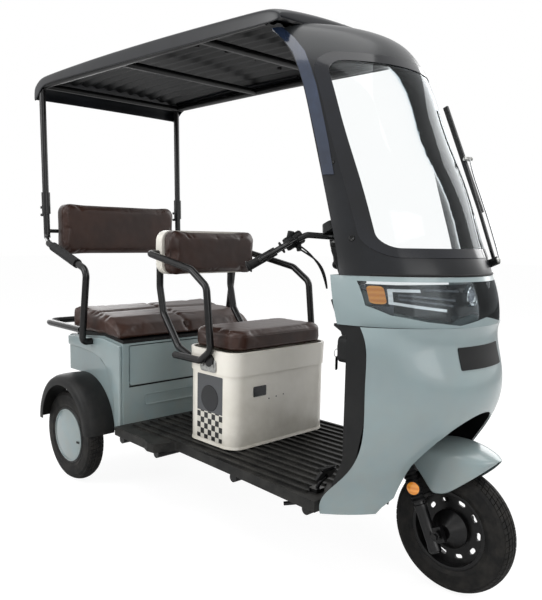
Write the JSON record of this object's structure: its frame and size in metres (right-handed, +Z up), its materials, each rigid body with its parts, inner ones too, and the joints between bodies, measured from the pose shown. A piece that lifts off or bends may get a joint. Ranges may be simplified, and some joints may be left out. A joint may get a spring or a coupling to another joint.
{
  "type": "three-wheeled electric passenger moped",
  "caption": "Open passenger moped on three wheels with a roof, wrapped windscreen, driver seat on a box and a padded rear bench with backrest.",
  "frame": {"origin": "on the ground, at the middle of the box round the whole vehicle", "axes": "+X ahead, +Y to the left of the driver, +Z up"},
  "size_m": [2.2519, 0.98, 1.868],
  "materials": {
    "tyre": "matt moulded rubber",
    "black_rim": "black enamel",
    "body_paint": "blue-grey painted shell, satin gloss",
    "black_metal": "black powder coat",
    "grip_rubber": "soft black rubber",
    "black_plastic": "moulded black plastic",
    "cast_alloy": "dull casting",
    "floor_plastic": "ribbed dark plastic",
    "clear_lens": "clear polycarbonate",
    "lamp_chrome": "bright reflector",
    "amber_lens": "amber lens",
    "screen_glass": "clear safety glass",
    "brown_leather": "dark brown grained leather",
    "red_lens": "red lens",
    "white_plastic": "off-white painted shell"
  },
  "bodies": {
    "root": {"armrest_left": "black_metal", "armrest_right": "black_metal", "back_pad": "brown_leather", "back_shell": "white_plastic", "backrest_stays": "black_metal", "battery_block": "black_plastic", "brake_pedal": "black_metal", "chassis": "black_metal", "cross_tubes": "black_metal", "dampers": "black_metal", "driver_box": "white_plastic", "floor_deck": "floor_plastic", "front_cowl": "body_paint", "grab_bar": "black_metal", "headlamp_housing": "body_paint", "headlamp_lens": "clear_lens", "headlamps": "lamp_chrome", "leg_shield": "black_plastic", "motor": "cast_alloy", "mudguard_rear_left": "floor_plastic", "mudguard_rear_right": "floor_plastic", "plate_bracket": "black_metal", "rear_armrest_sleeves": "grip_rubber", "rear_axle": "black_metal", "rear_backrest": "brown_leather", "rear_body": "body_paint", "roof_carrier": "black_metal", "roof_crossbars": "black_metal", "roof_poles": "black_metal", "roof_shell": "black_plastic", "side_rail_left": "black_metal", "side_rail_right": "black_metal", "tail_lamps": "red_lens", "turn_signals": "amber_lens", "windscreen_frame": "black_plastic", "windscreen_glass": "screen_glass", "wiper": "black_plastic"},
    "steering": {"fork": "black_metal", "mudguard_front": "body_paint", "handlebar": "black_metal", "grips": "grip_rubber", "stem_sleeve": "black_plastic", "instrument_pod": "black_plastic"},
    "front_wheel": {"tyre_front": "tyre", "rim_front": "black_rim"},
    "rear_wheel_right": {"tyre_rear_right": "tyre", "rim_rear_right": "black_rim", "cap_rear_right": "body_paint"},
    "rear_wheel_left": {"tyre_rear_left": "tyre", "rim_rear_left": "black_rim", "cap_rear_left": "body_paint"},
    "driver_seat": {"driver_cushion": "brown_leather"},
    "bench_seat": {"bench_cushion": "brown_leather", "bench_base": "black_plastic"},
    "storage_hatch": {"rear_hatch": "body_paint"}
  },
  "joints": [
    {"name": "steering_turn", "type": "hinge", "parent": "root", "child": "steering", "pos_m": [0.799, 0, 0.305], "axis": [-0.4305, 0, 0.9026], "range_deg": [-35, 35]},
    {"name": "front_wheel_roll", "type": "hinge", "parent": "steering", "child": "front_wheel", "pos_m": [0.919, 0, 0.207], "axis": [0, 1, 0], "continuous": true},
    {"name": "rear_right_roll", "type": "hinge", "parent": "root", "child": "rear_wheel_right", "pos_m": [-0.781, -0.408, 0.207], "axis": [0, 1, 0], "continuous": true},
    {"name": "rear_left_roll", "type": "hinge", "parent": "root", "child": "rear_wheel_left", "pos_m": [-0.781, 0.408, 0.207], "axis": [0, 1, 0], "continuous": true},
    {"name": "driver_seat_lift", "type": "hinge", "parent": "root", "child": "driver_seat", "pos_m": [0.149, 0, 0.6906], "axis": [0, 1, 0], "range_deg": [0, 60]},
    {"name": "bench_lift", "type": "hinge", "parent": "root", "child": "bench_seat", "pos_m": [-0.447, 0, 0.662], "axis": [0, 1, 0], "range_deg": [0, 55]},
    {"name": "hatch_drop", "type": "hinge", "parent": "root", "child": "storage_hatch", "pos_m": [-0.453, 0, 0.49], "axis": [0, 1, 0], "range_deg": [0, 80]}
  ]
}
